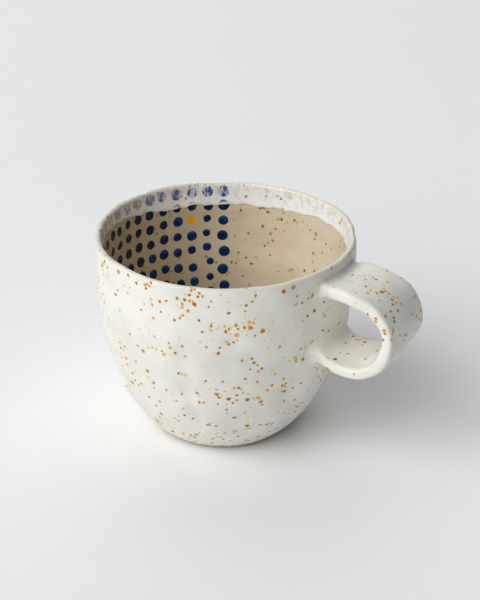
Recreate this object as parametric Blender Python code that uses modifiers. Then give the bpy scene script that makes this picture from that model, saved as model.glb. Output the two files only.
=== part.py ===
"""Pinched stoneware mug with a wide strap handle, glazed white outside and clear inside.

Origin: centre of the flat base, on the cup's axis. +Z is up and +X points to the handle.
Everything is in metres. Each layer of clay and glaze is its own closed body.
"""

import math

import bpy
from mathutils import Vector

MM = 0.001

# Cup
RIM_RADIUS = 50.0 * MM
HEIGHT = 81.8 * MM
SHOULDER_HEIGHT = 70.0 * MM  # the wall is upright above this
OUTER_CURVE_DEPTH = 6.4 * MM  # the outer curve would close this far under the base
OUTER_FULLNESS = 0.742  # 1 gives an ellipse, and less gives a squarer shoulder
INNER_FULLNESS = 0.66
WALL_THICKNESS = 3.3 * MM  # at the shoulder
LIP_THICKNESS = 2.4 * MM
FLOOR_THICKNESS = 4.2 * MM
FOOT_EDGE = 1.0 * MM  # width of the eased edge round the base

# Layers
GLAZE = 0.4 * MM
GAP = 0.3 * MM  # kept between pieces that touch
COVER = GLAZE + GAP  # the clay lies this far under the finished surface
BAND_DEPTH = 9.0 * MM  # the white glaze runs this far down the inside
BARE_FOOT = 1.4 * MM  # the white glaze stops this far above the base

# Hand-made unevenness of the wall, which grows from nothing at the base to full at the rim
OVAL = 0.011  # share of the rim's radius
OVAL_TURN = math.radians(78)
THREE_LOBE = 0.006
THREE_LOBE_TURN = math.radians(24)
LEAN = Vector((0.22, 0.24)) * MM
RIM_WAVE = 0.26 * MM
RIM_WAVE_TURN = math.radians(44)
FULL_PINCH_RADIUS = 20.0 * MM  # nearer the axis, the floor is pushed out less

# Strap handle, from inside the wall at its top, round the finger loop, to inside the wall below.
# Each row: centreline x and z, half width, sideways shift, half thickness (mm), sideways slope
STRAP_STATIONS = (
    (43.5, 72.5, 11.0, 4.0, 2.30, -0.03),
    (51.0, 73.9, 13.9, 0.9, 2.25, -0.05),
    (60.0, 74.9, 15.0, -0.8, 2.40, -0.04),
    (69.2, 72.4, 14.4, -0.2, 2.45, 0.00),
    (74.9, 66.0, 14.0, 0.0, 2.40, 0.00),
    (76.1, 58.2, 14.0, 0.0, 2.35, 0.00),
    (73.1, 51.1, 13.6, -1.3, 2.40, -0.05),
    (66.5, 46.6, 13.4, -2.4, 2.30, -0.04),
    (58.0, 45.5, 13.2, -2.6, 2.15, 0.00),
    (50.0, 45.8, 11.9, -0.9, 2.10, 0.00),
    (41.0, 46.0, 9.3, 1.9, 2.15, 0.00),
)
FLARE = 2.6 * MM  # how far the joint spreads on the wall
FLARE_REACH = 5.0 * MM  # how far from the wall the spread begins
COIL_REACH = 2.6 * MM  # the joint coil stops this far from the wall

# Mesh fineness
TURN_STEPS = 36
CURVE_STEPS = 11
LIP_STEPS = 6
STRAP_STEP = 0.35  # in stations, round the loop
JOINT_STEP = 0.12  # in stations, near the wall
STRAP_END_STEPS = 4
STRAP_FLAT_SHARES = (0.5, 0.0, -0.5)  # points along each flat, as shares of its half width
HEADING_STEP = 0.01  # in stations, to read which way the strap runs
SHARP_ANGLE = math.radians(40)

parts = None
cutters = None


def clear_scene():
    for item in list(bpy.data.objects):
        bpy.data.objects.remove(item, do_unlink=True)


def new_collection(name):
    made = bpy.data.collections.new(name)
    bpy.context.scene.collection.children.link(made)
    return made


def new_object(name, points, edges, faces, collection):
    mesh = bpy.data.meshes.new(name)
    mesh.from_pydata(points, edges, faces)
    mesh.update()
    made = bpy.data.objects.new(name, mesh)
    collection.objects.link(made)
    return made


# The cup's finished surface


def curve_arc(radius, low, fullness, first_turn, last_turn):
    """Points of a squared-off quarter ellipse that rises from low to the shoulder."""
    found = []
    for step in range(CURVE_STEPS + 1):
        turn = first_turn + (last_turn - first_turn) * step / CURVE_STEPS
        rise = (SHOULDER_HEIGHT - low) * (1 - math.cos(turn))
        found.append(Vector((radius * max(math.sin(turn), 0) ** fullness, low + rise)))
    return found


def outer_turn(height):
    """The outer curve's angle at this height."""
    return math.acos(
        1 - (height + OUTER_CURVE_DEPTH) / (SHOULDER_HEIGHT + OUTER_CURVE_DEPTH)
    )


def outer_radius(height):
    turn = outer_turn(min(height, SHOULDER_HEIGHT))
    return RIM_RADIUS * math.sin(turn) ** OUTER_FULLNESS


def upper_inner_radius(height):
    """The inside above the shoulder, where the wall thins towards the lip."""
    share = (height - SHOULDER_HEIGHT) / (HEIGHT - LIP_THICKNESS / 2 - SHOULDER_HEIGHT)
    return RIM_RADIUS - WALL_THICKNESS + (WALL_THICKNESS - LIP_THICKNESS) * share


def inside_line():
    """From the centre of the floor up to just under the white band."""
    radius = RIM_RADIUS - WALL_THICKNESS
    line = curve_arc(radius, FLOOR_THICKNESS, INNER_FULLNESS, 0, math.pi / 2)
    top = HEIGHT - BAND_DEPTH - GAP
    return line + [Vector((upper_inner_radius(top), top))]


def white_line():
    """From the lower edge of the white band, over the lip and down to the bare foot."""
    lip_radius = LIP_THICKNESS / 2
    edge = HEIGHT - BAND_DEPTH
    line = [Vector((upper_inner_radius(edge), edge))]
    for step in range(LIP_STEPS + 1):
        turn = math.pi * (1 - step / LIP_STEPS)
        around = Vector((math.cos(turn), math.sin(turn))) * lip_radius
        line.append(Vector((RIM_RADIUS - lip_radius, HEIGHT - lip_radius)) + around)
    wall = curve_arc(
        RIM_RADIUS, -OUTER_CURVE_DEPTH, OUTER_FULLNESS, outer_turn(BARE_FOOT), math.pi / 2
    )
    return line + wall[::-1]


def foot_line():
    """The finished surface of the bare clay under the white glaze, at its widest."""
    return [Vector((outer_radius(height), height)) for height in (BARE_FOOT / 2, 0)]


def inset(line, whole, distance):
    """The points of line moved into the clay, square to the line of the whole finished surface."""
    found = []
    for point in line:
        place = whole.index(point)
        before = whole[max(place - 1, 0)]
        after = whole[min(place + 1, len(whole) - 1)]
        along = (after - before).normalized()
        inward = Vector((along.y, -along.x))
        if point.x == 0:
            inward = Vector((0, -1))
        found.append(point + inward * distance)
    return found


# Hand-made unevenness


def pinch(point):
    """Moves a point of the evenly turned mug to where the hand-pinched one has it."""
    radius = math.hypot(point.x, point.y)
    if radius == 0:
        return point
    turn = math.atan2(point.y, point.x)
    share = min(max(point.z / HEIGHT, 0), 1)
    swell = OVAL * math.cos(2 * (turn - OVAL_TURN))
    swell += THREE_LOBE * math.cos(3 * (turn - THREE_LOBE_TURN))
    outward = RIM_RADIUS * swell * share * min(radius / FULL_PINCH_RADIUS, 1)
    sideways = LEAN * share
    lift = RIM_WAVE * math.cos(2 * (turn - RIM_WAVE_TURN)) * share**2
    scale = (radius + outward) / radius
    return Vector((point.x * scale + sideways.x, point.y * scale + sideways.y, point.z + lift))


def pinch_mesh(item):
    for vertex in item.data.vertices:
        vertex.co = pinch(vertex.co)
    item.data.update()


# Turned pieces


def turned(name, line, closed, collection):
    """Turns a profile round +Z. It runs up the inner side and down the outer side."""
    points = [(point.x, 0, point.y) for point in line]
    edges = [(place, place + 1) for place in range(len(points) - 1)]
    if closed:
        edges.append((len(points) - 1, 0))
    made = new_object(name, points, edges, [], collection)
    screw = made.modifiers.new("turn", "SCREW")
    screw.axis = "Z"
    screw.steps = TURN_STEPS
    screw.render_steps = TURN_STEPS
    screw.use_merge_vertices = True
    screw.merge_threshold = 0.01 * MM
    apply_modifiers(made)
    pinch_mesh(made)
    return made


def apply_modifiers(item):
    graph = bpy.context.evaluated_depsgraph_get()
    mesh = bpy.data.meshes.new_from_object(item.evaluated_get(graph))
    item.modifiers.clear()
    item.data = mesh


def wall_solid(name, distance):
    """A filled cup whose outside lies this far under the finished surface."""
    whole = inside_line() + white_line() + foot_line()
    outside = inset(white_line()[LIP_STEPS + 1 :] + foot_line(), whole, distance)
    line = [Vector((0, HEIGHT)), Vector((outside[0].x, HEIGHT)), *outside]
    line += [Vector((outside[-1].x, -FLARE)), Vector((0, -FLARE))]
    return turned(name, line, False, cutters)


def build_cup_body():
    whole = inside_line() + white_line() + foot_line()
    line = inset(whole, whole, COVER)
    edge = line[-1]
    line[-1] = Vector((edge.x, max(edge.y, FOOT_EDGE / 2)))
    line.append(Vector((edge.x - FOOT_EDGE / 3, FOOT_EDGE / 6)))
    line.append(Vector((edge.x - FOOT_EDGE, 0)))
    line.append(Vector((0, 0)))
    return turned("cup_body", line, False, parts)


def build_liner_glaze():
    whole = inside_line() + white_line()
    face = inside_line()
    line = face + inset(face, whole, GLAZE)[::-1]
    return turned("liner_glaze", line, False, parts)


def build_outer_glaze():
    whole = inside_line() + white_line() + foot_line()
    face = white_line()
    line = face + inset(face, whole, GLAZE)[::-1]
    return turned("outer_glaze", line, True, parts)


# Strap handle


def between(rows, place):
    """A smooth curve through the rows, read at a place counted in rows."""
    start = min(int(place), len(rows) - 2)
    t = place - start
    picked = [rows[min(max(start + k, 0), len(rows) - 1)] for k in (-1, 0, 1, 2)]
    found = []
    for a, b, c, d in zip(*picked):
        bend = (2 * a - 5 * b + 4 * c - d) * t * t + (3 * b - 3 * c + d - a) * t**3
        found.append(b + ((c - a) * t + bend) / 2)
    return found


def strap_frame(place):
    """The strap's centre here, and the direction square to it that points out of the loop."""
    last = len(STRAP_STATIONS) - 1
    x, z, _, shift = between(STRAP_STATIONS, place)[:4]
    ahead = between(STRAP_STATIONS, min(place + HEADING_STEP, last))
    behind = between(STRAP_STATIONS, max(place - HEADING_STEP, 0))
    along = Vector((ahead[0] - behind[0], 0, ahead[1] - behind[1])).normalized()
    return Vector((x, shift, z)) * MM, Vector((-along.z, 0, along.x))


def strap_section(place, grow_at):
    """One closed ring of points round the strap: two flats with fully rounded edges."""
    centre, outward = strap_frame(place)
    _, _, half_width, _, half_thickness, slope = between(STRAP_STATIONS, place)
    half_flat = (half_width - half_thickness) * MM
    ring = []
    for side in (1, -1):
        for step in range(STRAP_END_STEPS + 1):
            turn = math.pi * (step / STRAP_END_STEPS - 0.5)
            facing = Vector((0, math.cos(turn), 0)) + outward * math.sin(turn)
            ring.append((Vector((0, half_flat, 0)) * side, facing * side))
        for share in STRAP_FLAT_SHARES:
            ring.append((Vector((0, half_flat * share, 0)) * side, outward * side))
    points = []
    for place_across, facing in ring:
        point = centre + place_across + facing * half_thickness * MM
        point += outward * slope * place_across.y
        grow = grow_at(math.hypot(point.x, point.y) - outer_radius(point.z))
        points.append(point + facing * grow)
    return points


def wall_distance(place):
    """How far the strap's centreline is outside the cup at this place, and negative inside."""
    x, z = between(STRAP_STATIONS, place)[:2]
    return x * MM - outer_radius(z * MM)


def strap_places():
    """Places for the strap's rings, counted in stations, and closer together near the wall."""
    places = [0.0]
    last = len(STRAP_STATIONS) - 1
    while places[-1] < last:
        near_wall = wall_distance(places[-1]) < FLARE_REACH
        places.append(places[-1] + (JOINT_STEP if near_wall else STRAP_STEP))
    places[-1] = last
    return places


def strap_loft(name, grow_at, collection, places=None):
    """A closed body through the strap's sections at these places, or along the whole strap."""
    rings = [strap_section(place, grow_at) for place in places or strap_places()]
    count = len(rings) - 1
    size = len(rings[0])
    points = [point for ring in rings for point in ring]
    faces = [tuple(range(size))[::-1], tuple(range(count * size, (count + 1) * size))]
    for row in range(count):
        for column in range(size):
            after = (column + 1) % size
            low = row * size
            faces.append((low + column, low + after, low + size + after, low + size + column))
    made = new_object(name, points, [], faces, collection)
    pinch_mesh(made)
    return made


def flare(distance):
    """How far the finished joint stands out from the strap, this far from the wall."""
    share = min(max(1 - distance / FLARE_REACH, 0), 1)
    return FLARE * share**2


def cut(item, cutter):
    made = item.modifiers.new(cutter.name, "BOOLEAN")
    made.operation = "DIFFERENCE"
    made.solver = "EXACT"
    made.object = cutter


def build_handle_strap(clay_wall):
    made = strap_loft("handle_strap", lambda distance: -COVER, parts)
    cut(made, clay_wall)
    return made


def build_joint_coil(name, clay_wall, strap_room, upper):
    """A ring of clay worked into the corner between the strap and the wall."""
    middle = len(STRAP_STATIONS) / 2
    places = [
        place
        for place in strap_places()
        if wall_distance(place) < COIL_REACH and (place < middle) == upper
    ]
    made = strap_loft(name, lambda distance: flare(distance) - COVER, parts, places)
    cut(made, strap_room)
    cut(made, clay_wall)
    return made


def build_handle_glaze(glazed_wall):
    made = strap_loft("handle_glaze", flare, parts)
    room = strap_loft("handle_glaze_room", lambda distance: flare(distance) - GLAZE, cutters)
    cut(made, room)
    cut(made, glazed_wall)
    return made


def open_outer_glaze(outer_glaze):
    """Clears the white glaze where the handle's clay meets the cup's clay."""
    footprint = strap_loft(
        "handle_footprint", lambda distance: flare(distance) - GLAZE, cutters
    )
    cut(footprint, wall_solid("wall_core", 2 * COVER))
    cut(outer_glaze, footprint)


# Looks


def principled(name, colour, roughness, coat=0.0):
    made = bpy.data.materials.new(name)
    made.use_nodes = True
    shader = made.node_tree.nodes["Principled BSDF"]
    shader.inputs["Base Color"].default_value = (*colour, 1)
    shader.inputs["Roughness"].default_value = roughness
    shader.inputs["Metallic"].default_value = 0
    shader.inputs["Coat Weight"].default_value = coat
    made.diffuse_color = (*colour, 1)
    return made


def finish_piece(item, material):
    item.data.materials.clear()
    item.data.materials.append(material)
    item.data.shade_smooth()
    item.data.set_sharp_from_angle(angle=SHARP_ANGLE)


def finish_cutters():
    for item in cutters.objects:
        item.hide_render = True
        item.display_type = "WIRE"


def main():
    global parts, cutters
    clear_scene()
    parts = new_collection("stoneware_mug")
    cutters = new_collection("cutters")

    clay_wall = wall_solid("clay_wall_cutter", COVER - GAP)
    glazed_wall = wall_solid("glazed_wall_cutter", -GAP)
    strap_room = strap_loft("strap_room", lambda distance: GAP - COVER, cutters)

    clay = principled("stoneware_clay", (0.56, 0.44, 0.32), 0.85)
    joint_clay = principled("joint_clay", (0.50, 0.38, 0.27), 0.9)
    white = principled("white_glaze", (0.84, 0.83, 0.79), 0.45)
    handle_white = principled("handle_white_glaze", (0.82, 0.81, 0.77), 0.45)
    clear = principled("clear_glaze", (0.66, 0.56, 0.43), 0.15, 1.0)

    outer_glaze = build_outer_glaze()
    open_outer_glaze(outer_glaze)
    finish_piece(build_cup_body(), clay)
    finish_piece(build_liner_glaze(), clear)
    finish_piece(outer_glaze, white)
    finish_piece(build_handle_strap(clay_wall), clay)
    for name, upper in (("upper_joint_coil", True), ("lower_joint_coil", False)):
        finish_piece(build_joint_coil(name, clay_wall, strap_room, upper), joint_clay)
    finish_piece(build_handle_glaze(glazed_wall), handle_white)
    finish_cutters()


main()
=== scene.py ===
"""Looks of the pinched stoneware mug: speckled white glaze outside and round the lip, and clear
glaze over tan clay with painted blue dots inside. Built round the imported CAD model, in its frame.

Shapes are worked out in millimetres, as turned forms in turn, radius and height, then pinched
out of true as the CAD model is, and stored in metres.
"""

import math

import bpy
import numpy as np
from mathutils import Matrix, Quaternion, Vector
from mathutils.kdtree import KDTree


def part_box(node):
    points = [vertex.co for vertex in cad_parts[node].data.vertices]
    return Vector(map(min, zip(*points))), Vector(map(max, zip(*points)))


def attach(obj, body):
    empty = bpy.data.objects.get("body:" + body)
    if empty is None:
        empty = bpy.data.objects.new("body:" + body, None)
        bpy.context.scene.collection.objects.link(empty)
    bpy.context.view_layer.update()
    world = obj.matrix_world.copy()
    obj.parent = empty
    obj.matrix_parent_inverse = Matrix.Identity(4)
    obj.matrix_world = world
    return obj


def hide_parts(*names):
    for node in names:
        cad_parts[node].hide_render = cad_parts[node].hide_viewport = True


MM = 0.001

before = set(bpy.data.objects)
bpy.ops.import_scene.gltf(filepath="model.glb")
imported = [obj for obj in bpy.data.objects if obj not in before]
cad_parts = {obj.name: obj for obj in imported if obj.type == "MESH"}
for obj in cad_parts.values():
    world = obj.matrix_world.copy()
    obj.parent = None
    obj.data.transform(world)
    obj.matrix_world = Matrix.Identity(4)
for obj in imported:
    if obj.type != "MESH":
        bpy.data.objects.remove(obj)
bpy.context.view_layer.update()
GLAZE_LOW, GLAZE_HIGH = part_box("outer_glaze")

# Cup, as the CAD model has it (mm)
RIM_WAVE = 0.26
HEIGHT = GLAZE_HIGH.z / MM - RIM_WAVE
RIM_RADIUS = (GLAZE_HIGH.x - GLAZE_LOW.x + GLAZE_HIGH.y - GLAZE_LOW.y) / 4 / MM
SHOULDER_HEIGHT = 70.0
OUTER_CURVE_DEPTH = 6.4
OUTER_FULLNESS = 0.742
INNER_FULLNESS = 0.66
WALL_THICKNESS = 3.3  # at the shoulder
LIP_THICKNESS = 2.4
FLOOR_THICKNESS = 4.2
FOOT_EDGE = 0.9

# Unevenness, as the CAD model has it (mm)
OVAL = 0.011
OVAL_TURN = math.radians(78)
THREE_LOBE = 0.006
THREE_LOBE_TURN = math.radians(24)
LEAN = (0.22, 0.24)
RIM_WAVE_TURN = math.radians(44)
FULL_PINCH_RADIUS = 20.0  # from here in to the axis, the pinching fades to nothing

# Finer unevenness of the rim: how many lobes, and their height (mm), less for more lobes
RIM_LOBES = (4, 5, 7, 11)
RIM_LOBE_HEIGHT = 0.14

# Finger marks, smaller than the CAD model has (mm)
FINGER_SEED = 4
FINGER_MARKS = 330
FINGER_HEIGHTS = (4, HEIGHT + 2)
FINGER_DEPTH = (0.2, 0.85)
FINGER_PUSH = (1, 1, -0.8)  # one mark in three stands out
FINGER_WIDTH = (1.7, 5.2)
FINGER_LENGTH = (1.0, 2.3)  # in widths
FINGER_LIE = (math.radians(-40), math.radians(35))  # the middle and the spread
FINGER_FADE = 2.5  # how far off the wall the marks are felt
MARKS_START = (5.0, 16.0)  # heights between which the marks grow from nothing to full
INWARD_FADE = (0.8, 2.4)  # depths in the wall between which the marks grow weaker
INWARD_LOSS = 0.65

# Layers (mm)
WHITE_THICKNESS = 0.42
CLAY_DEPTH = 0.52
LINER_THICKNESS = 0.4
LINER_OVERLAP = 2.0  # how far the liner runs up under the band
LINER_LEVEL = 60.0  # up to this height, the liner's rows are level
LINER_MIDDLE = 12.0  # out to this radius, its rows are spaced by radius
BAND_PROUD = 0.1
BEAD_PROUD = 0.28
BAND_DEPTH = 7.35
# Where the band's depth differs: turn and spread in degrees, and how much further down it runs
BAND_SAGS = ((112, 22, 2.5), (150, 9, 1.9), (206, 18, -1.9))
BARE_FOOT = 1.25
FOOT_STRETCH = 3  # above the bare foot, where the rows grow as ragged as the glaze's edge
FOOT_BACK_STRETCH = 2
WEAR_AND_SHADE_REACH = 1.5  # how far down the outside the lip's wear and painted shade fade

# Ragged edges of the white glaze, as waves: lobes round the cup, and height (mm)
BAND_WAVES = ((5, 0.2), (9, 0.2), (16, 0.22), (27, 0.18), (41, 0.15), (67, 0.11))
FOOT_WAVES = ((3, 0.12), (7, 0.1), (13, 0.09), (23, 0.07), (37, 0.05))
WAVE_SHIFT = 2.4  # radians, so that the waves start apart

# Strap handle, as the CAD model has it.
# Each row: centreline x and z, half width, sideways shift, half thickness (mm), sideways slope
STRAP_STATIONS = (
    (43.5, 72.5, 11.0, 4.0, 2.30, -0.03),
    (51.0, 73.9, 13.9, 0.9, 2.25, -0.05),
    (60.0, 74.9, 15.0, -0.8, 2.40, -0.04),
    (69.2, 72.4, 14.4, -0.2, 2.45, 0.00),
    (74.9, 66.0, 14.0, 0.0, 2.40, 0.00),
    (76.1, 58.2, 14.0, 0.0, 2.35, 0.00),
    (73.1, 51.1, 13.6, -1.3, 2.40, -0.05),
    (66.5, 46.6, 13.4, -2.4, 2.30, -0.04),
    (58.0, 45.5, 13.2, -2.6, 2.15, 0.00),
    (50.0, 45.8, 11.9, -0.9, 2.10, 0.00),
    (41.0, 46.0, 9.3, 1.9, 2.15, 0.00),
)
# Joint curves at the strap's top end and bottom end, each for the strap's upper face, its edges
# and its under face: how far from the wall the curve begins, and how far along the wall it ends
FILLETS = (((3.0, 2.2), (3.6, 2.2), (4.0, 2.4)), ((6.4, 5.8), (3.4, 1.8), (3.4, 2.2)))
END_SUNK = 1.6  # how deep the closed end lies in the wall
EDGE_SQUARENESS = 0.7  # 1 would be a round edge

# Soft marks on the strap (mm; places are counted in stations)
STRAP_MARK_COUNT = 34
STRAP_MARK_PLACES = (0.8, 9.5)
STRAP_MARK_SIZE = (1.8, 4.2)
STRAP_MARK_PUSH = 0.42
STRAP_MARK_START = (0.6, 5.0)  # from the wall, between which the marks grow to full

# Painted dots (turns in radians, the rest in mm)
DOT_COLUMNS = 23
FIRST_COLUMN = math.radians(121.9)
COLUMN_PITCH = math.radians(8.05)
DOT_DEPTHS = (3.4, 9.8, 16.0, 22.5, 29.2, 35.8, 42.4, 48.8, 55.2, 61.2)
COLUMN_STRETCH = (1.07, 0.96, 1.02, 1.01, 0.98, 1.0, 0.95, 0.97)  # the rest are even
COLUMN_LEAN = math.radians(-1.4)  # of the first two columns, from top to bottom
DOT_SCATTER = (math.radians(0.3), 0.18)  # round the cup, and up
DOT_RADIUS = 2.05
DOT_SPREAD = (0.88, 1.08)
SMALL_COLUMN = 1  # its dots are smaller, from the third row down
SMALLER_BY = 0.3
FIRST_COLUMN_GAIN = 1.16
TOP_ROW_GAIN = 1.12
LOW_DOT_HEIGHT = 30  # dots below this are smaller
LOW_DOT_GAIN = 0.85
OCHRE_DOT = (2, 2)  # column and row
OCHRE_GAIN = 0.86
FAINT_FROM = 3  # after this column, the band hides its dots more and more
FAINT_STEP = 0.085
FAINT_MOST = 0.55

# Iron specks (mm; crowding is specks in a square mm; tone runs from 0, pale, to 1, rusty)
WALL_CROWDING = 0.055
BAND_CROWDING = 0.025
LIP_CROWDING = 0.045
HANDLE_CROWDING = 0.075
INSIDE_CROWDING = 0.045
LOW_HEIGHT = 44.0  # below this height, the outside has more specks
LOW_GAIN = 1.3
SPECK_RADIUS = 0.42  # of the smallest pale ones
TONE_GAIN = 0.2  # how much larger the most rusty ones are
SPECK_SPREAD = 0.18
LARGE_SHARE = 0.1
LARGE_GAIN = 1.3
WALL_LARGE_GAIN = 1.5
LIP_TONE = (0.7, 0.3)  # least, and how much more
LIP_SHRINK = 0.8
DARK_SHARE = 0.065
GROUPS = 26  # random groups on each piece
GROUP_SPREAD = 1.9
GROUP_PULL = 6.5
SPECK_MARGIN = 1.1
# The largest groups on the wall, each with its turn in degrees, and its height
LARGE_GROUPS = ((-64, 67), (-57, 65), (-50, 68), (-76, 71), (-88, 54), (-118, 77), (-29, 36))

# Camera
LENS = 85.0
ELEVATION = math.radians(27.5)
AZIMUTH = math.radians(30.0)
DISTANCE = 555.8
ROLL = math.radians(1.11)
AIM_RIGHT = 6.475
AIM_HEIGHT = 51.98

# Lights: name, turn to the left of the camera and rise (degrees), distance, size (m), power (W)
LIGHTS = (
    ("key", 37, 42, 6.0, 5.4, 252.0),
    ("front", 0, 10, 5.0, 3.0, 10.0),
    ("side", 74, 35, 5.0, 4.15, 107.0),
    ("back", 176, 49, 2.9, 3.0, 33.0),
)
SKY_COLOUR = (0.97, 0.985, 1.0)
SKY_STRENGTH = 0.05
FLOOR_COLOUR = (0.912, 0.920, 0.922)
FLOOR_ROUGHNESS = 0.8
FLOOR_HALF = 4000  # mm

# Colours. A pair holds the ends of a slow change, and three are a speck's pale rim, rim and core.
WHITE_TINTS = (0.78, 0.77, 0.70), (0.83, 0.82, 0.765)
BAND_TINTS = (0.95, 0.955, 0.94), (0.77, 0.745, 0.66)
BAND_STAIN = (0.76, 0.58, 0.27)
BAND_DOT = (0.002, 0.075, 0.32)
BAND_RIM = (0.74, 0.50, 0.15)
BAND_CORE = (0.46, 0.22, 0.05)
THIN_EDGE = (0.50, 0.42, 0.30)
# Lip crest colour: real wear, and painted shade that dims the crest where it catches the light
LIP_WEAR_AND_SHADE = (0.63, 0.57, 0.45)
PALE_OCHRE = (0.78, 0.62, 0.26)
ORANGE = (0.70, 0.34, 0.045)
RUST = (0.25, 0.065, 0.008)
BLACK_IRON = (0.03, 0.016, 0.014)
CLAY_TINTS = (0.68, 0.58, 0.42), (0.745, 0.65, 0.49)
CLAY_GRAIN = (0.50, 0.38, 0.24)
# Painted shade: the clay colour that the inside darkens to, towards the left and low in the cup
CLAY_PAINTED_SHADE = (0.36, 0.285, 0.18)
CLAY_SPECK = (0.57, 0.40, 0.13), (0.43, 0.245, 0.055), (0.085, 0.045, 0.018)
DOT_BLUES = (0.0006, 0.002, 0.017), (0.001, 0.020, 0.105)
DOT_RING = (0.001, 0.05, 0.18)
DOT_WASH = (0.02, 0.15, 0.33)
DOT_OCHRE = (0.86, 0.44, 0.012)
BARE_TINTS = (0.46, 0.34, 0.22), (0.56, 0.43, 0.29)
BARE_GRIT = (0.30, 0.20, 0.12)

# Mesh fineness: steps in mm, and how many steps a curve has
COLUMNS = 400
ROW_STEP = 0.55
BACK_STEP = 3.0
SLOPE_STEP = 0.05
BEAD_STEPS = 6
LIP_STEPS = 14
FOOT_STEPS = 5
HIDDEN_LIP_STEPS = 8
LINER_BACK_STEPS = 6
STRAP_LINES_END = 30
STRAP_LINES_FLAT = 26
STRAP_RINGS = 150
STRAP_PLACES = 1500
FILLET_RINGS = 14

SEED = 20
draws = np.random.default_rng(SEED)


# Shape of the wall


def smooth_step(value, start, end):
    share = np.clip((value - start) / (end - start), 0, 1)
    return share * share * (3 - 2 * share)


def outer_radius(height):
    rise = np.clip(height, -OUTER_CURVE_DEPTH, SHOULDER_HEIGHT) + OUTER_CURVE_DEPTH
    turn = np.arccos(1 - rise / (SHOULDER_HEIGHT + OUTER_CURVE_DEPTH))
    return RIM_RADIUS * np.sin(turn) ** OUTER_FULLNESS


def inner_radius(height):
    rise = np.clip(height, FLOOR_THICKNESS, SHOULDER_HEIGHT) - FLOOR_THICKNESS
    turn = np.arccos(1 - rise / (SHOULDER_HEIGHT - FLOOR_THICKNESS))
    lip_height = HEIGHT - LIP_THICKNESS / 2
    thinning = np.clip((height - SHOULDER_HEIGHT) / (lip_height - SHOULDER_HEIGHT), 0, 1)
    radius = RIM_RADIUS - WALL_THICKNESS + (WALL_THICKNESS - LIP_THICKNESS) * thinning
    return radius * np.sin(turn) ** INNER_FULLNESS


def make_finger_marks():
    """Each mark: turn, height, length along its lie, width across it, lie, depth."""
    marks = []
    own = np.random.default_rng(FINGER_SEED)
    for _ in range(FINGER_MARKS):
        turn = own.uniform(0, 2 * math.pi)
        height = own.uniform(*FINGER_HEIGHTS)
        width = own.uniform(*FINGER_WIDTH)
        length = width * own.uniform(*FINGER_LENGTH)
        lie = own.normal(*FINGER_LIE)
        depth = own.uniform(*FINGER_DEPTH) * own.choice(FINGER_PUSH) * width / FINGER_WIDTH[1]
        marks.append((turn, height, length, width, lie, depth))
    return marks


def make_rim_wobble():
    """Each wave: lobes, where it starts, and height."""
    made = []
    for lobes in RIM_LOBES:
        made.append((lobes, draws.uniform(0, 2 * math.pi), RIM_LOBE_HEIGHT / lobes**0.5))
    return made


MARKS = make_finger_marks()
RIM_WOBBLE = make_rim_wobble()


def finger_marks(turn, height):
    """How far the finger marks press the wall in."""
    found = np.zeros(np.broadcast(turn, height).shape)
    for mark_turn, mark_height, length, width, lie, depth in MARKS:
        around = (turn - mark_turn + math.pi) % (2 * math.pi) - math.pi
        along = around * RIM_RADIUS * math.cos(lie) + (height - mark_height) * math.sin(lie)
        across = (height - mark_height) * math.cos(lie) - around * RIM_RADIUS * math.sin(lie)
        away = (along / length) ** 2 + (across / width) ** 2
        found += depth * np.exp(-(away**1.7) / 2)
    return found * smooth_step(height, *MARKS_START)


def pinched(turn, radius, height):
    """Where the hand-pinched mug has this point of the evenly turned one."""
    share = np.clip(height / HEIGHT, 0, 1)
    swell = OVAL * np.cos(2 * (turn - OVAL_TURN))
    swell = swell + THREE_LOBE * np.cos(3 * (turn - THREE_LOBE_TURN))
    off_wall = np.maximum(radius - outer_radius(height), 0)
    inward = smooth_step(outer_radius(height) - radius, *INWARD_FADE)
    dent = finger_marks(turn, height) * np.exp(-off_wall / FINGER_FADE)
    dent = dent * (1 - INWARD_LOSS * inward)
    outward = (RIM_RADIUS * swell * share - dent) * np.minimum(radius / FULL_PINCH_RADIUS, 1)
    lift = RIM_WAVE * np.cos(2 * (turn - RIM_WAVE_TURN))
    for lobes, start, size in RIM_WOBBLE:
        lift = lift + size * np.cos(lobes * turn + start)
    x = (radius + outward) * np.cos(turn) + LEAN[0] * share
    y = (radius + outward) * np.sin(turn) + LEAN[1] * share
    return np.stack(np.broadcast_arrays(x, y, height + lift * share**4), -1)


def waves(turn, sizes, start):
    """A ragged closed line round the cup: the sum of waves, each (lobes, height)."""
    found = np.zeros_like(turn)
    for place, (lobes, size) in enumerate(sizes):
        found += size * np.sin(lobes * turn + start + WAVE_SHIFT * place * (lobes % 5 + 1))
    return found


def band_depth(turn):
    """How far down the inside the white glaze runs."""
    sag = 0
    for sag_turn, spread, size in BAND_SAGS:
        away = (turn - math.radians(sag_turn) + math.pi) % (2 * math.pi) - math.pi
        sag = sag + size * np.exp(-((away / math.radians(spread)) ** 2) / 2)
    return BAND_DEPTH + sag + waves(turn, BAND_WAVES, 0.7)


def foot_line(turn):
    """Height of the white glaze's lower edge."""
    return BARE_FOOT + waves(turn, FOOT_WAVES, 2.1)


# Meshes


def new_piece(name, points, faces, material):
    """Points are in mm. A face lists its corners anticlockwise from outside."""
    mesh = bpy.data.meshes.new(name)
    mesh.from_pydata((np.asarray(points) * MM).tolist(), [], faces)
    mesh.update()
    made = bpy.data.objects.new(name, mesh)
    bpy.context.scene.collection.objects.link(made)
    mesh.materials.append(material)
    mesh.shade_smooth()
    return made


def grid_faces(rows, columns, closed_rows):
    """Quads between rows of points that close round the columns, as lists of corners."""
    row = np.arange(rows if closed_rows else rows - 1)
    low = row[:, None] * columns
    high = ((row + 1) % rows)[:, None] * columns
    here = np.arange(columns)[None, :]
    after = (here + 1) % columns
    quads = np.stack([low + here, low + after, high + after, high + here], -1)
    return quads.reshape(-1, 4).tolist()


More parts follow.
